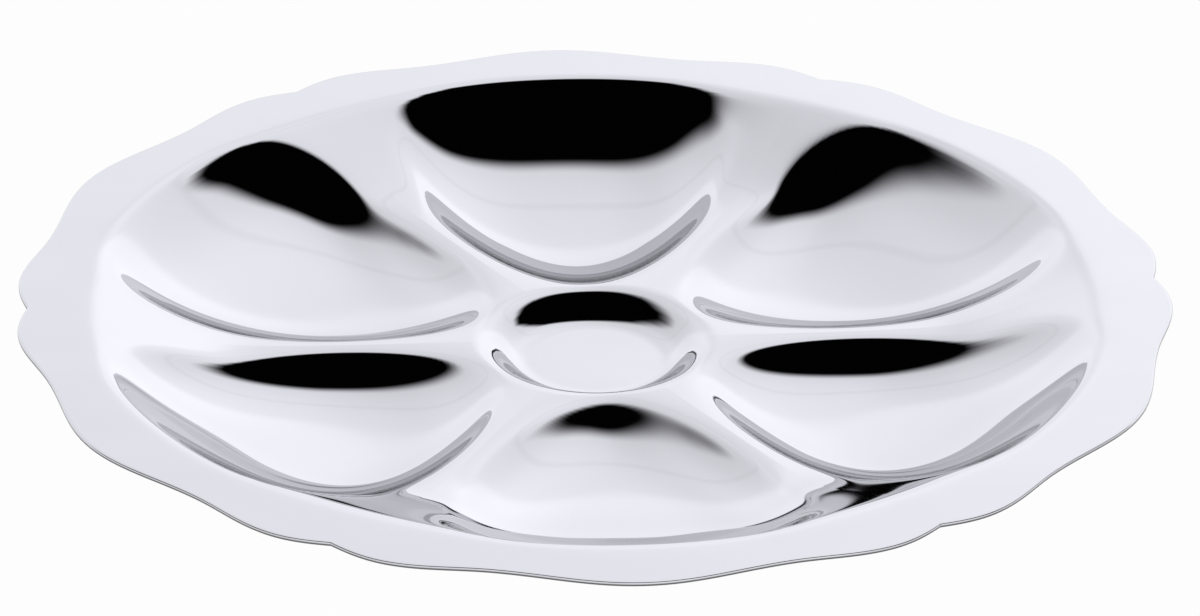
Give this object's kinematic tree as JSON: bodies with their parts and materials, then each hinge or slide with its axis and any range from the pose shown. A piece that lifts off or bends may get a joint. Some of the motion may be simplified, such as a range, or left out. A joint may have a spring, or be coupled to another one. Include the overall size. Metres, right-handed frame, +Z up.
{
  "type": "oyster plate",
  "caption": "Round serving plate pressed from one steel sheet, with a scalloped flat brim, pear-shaped wells between ridges and a small round middle well.",
  "frame": {"origin": "on the table under the middle of the plate", "axes": "+Z up along the plate's axis, +X out through the middle of one ridge and the notch outside it"},
  "size_m": [0.247, 0.25, 0.019],
  "materials": {
    "polished_steel": "mirror-polished stainless steel sheet"
  },
  "bodies": {
    "root": {"plate": "polished_steel"}
  },
  "joints": []
}
